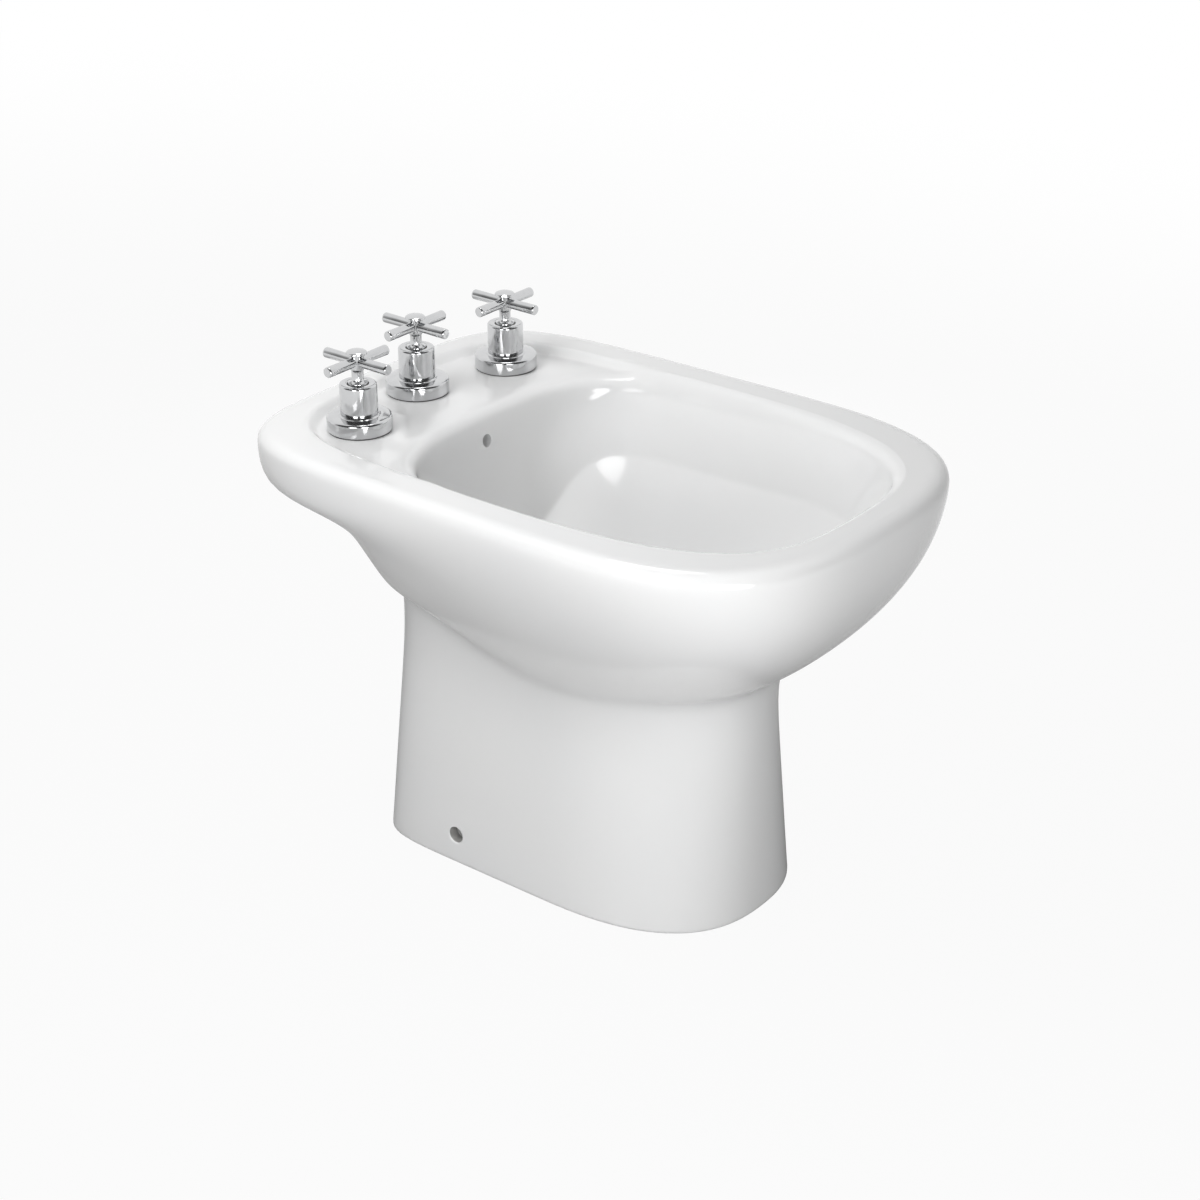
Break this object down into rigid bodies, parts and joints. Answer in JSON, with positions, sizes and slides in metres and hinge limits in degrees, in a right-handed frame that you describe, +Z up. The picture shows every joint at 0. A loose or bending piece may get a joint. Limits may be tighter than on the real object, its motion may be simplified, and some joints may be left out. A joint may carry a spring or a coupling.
{
  "type": "bidet",
  "caption": "Floor-standing bidet: hollow white china pedestal and bowl, rear deck with hot, cold and transfer cross-handle taps, upright spray and waste outlet.",
  "frame": {"origin": "middle of the overall plan box, on the floor", "axes": "+Z up, +Y towards the wall and taps, -Y towards the front of the bowl, +X to the cold tap"},
  "size_m": [0.3744, 0.5334, 0.4395],
  "materials": {
    "china": "gloss glaze",
    "chrome": "polished",
    "brass": "machined",
    "rubber": "matte",
    "valve_ceramic": "lapped",
    "steel": "plain"
  },
  "bodies": {
    "bidet": {"bowl_feed_grommet": "rubber", "bowl_feed_nut": "brass", "bowl_feed_tube": "chrome", "ceramic_body": "china", "cold_back_washer": "rubber", "cold_backnut": "brass", "cold_deck_gasket": "rubber", "cold_fixed_disc": "valve_ceramic", "cold_flange": "chrome", "cold_headwork": "brass", "cold_link_nuts": "brass", "cold_link_tube": "chrome", "cold_seat_seal": "rubber", "cold_sleeve": "chrome", "cold_valve_body": "brass", "hot_back_washer": "rubber", "hot_backnut": "brass", "hot_deck_gasket": "rubber", "hot_fixed_disc": "valve_ceramic", "hot_flange": "chrome", "hot_headwork": "brass", "hot_link_nuts": "brass", "hot_link_tube": "chrome", "hot_seat_seal": "rubber", "hot_sleeve": "chrome", "hot_valve_body": "brass", "spray_gasket": "rubber", "spray_locknut": "brass", "spray_rose": "chrome", "spray_tube": "chrome", "spray_tube_nuts": "brass", "transfer_back_washer": "rubber", "transfer_backnut": "brass", "transfer_deck_gasket": "rubber", "transfer_fixed_disc": "valve_ceramic", "transfer_flange": "chrome", "transfer_headwork": "brass", "transfer_seat_seal": "rubber", "transfer_sleeve": "chrome", "transfer_valve_body": "brass", "waste_body": "chrome", "waste_gasket": "rubber", "waste_locknut": "brass", "waste_tailpiece": "chrome"},
    "hot_tap": {"hot_handle": "chrome", "hot_handle_cap": "chrome", "hot_handle_screw": "steel", "hot_spindle": "brass", "hot_moving_disc": "valve_ceramic"},
    "cold_tap": {"cold_handle": "chrome", "cold_handle_cap": "chrome", "cold_handle_screw": "steel", "cold_spindle": "brass", "cold_moving_disc": "valve_ceramic"},
    "transfer_tap": {"transfer_handle": "chrome", "transfer_handle_cap": "chrome", "transfer_handle_screw": "steel", "transfer_spindle": "brass", "transfer_moving_disc": "valve_ceramic"}
  },
  "joints": [
    {"name": "hot_turn", "type": "hinge", "parent": "bidet", "child": "hot_tap", "pos_m": [-0.0925, 0.1855, 0.43], "axis": [0, 0, 1], "range_deg": [0, 90]},
    {"name": "cold_turn", "type": "hinge", "parent": "bidet", "child": "cold_tap", "pos_m": [0.0925, 0.1855, 0.43], "axis": [0, 0, 1], "range_deg": [-90, 0]},
    {"name": "transfer_turn", "type": "hinge", "parent": "bidet", "child": "transfer_tap", "pos_m": [0, 0.2055, 0.43], "axis": [0, 0, 1], "range_deg": [0, 90]}
  ]
}
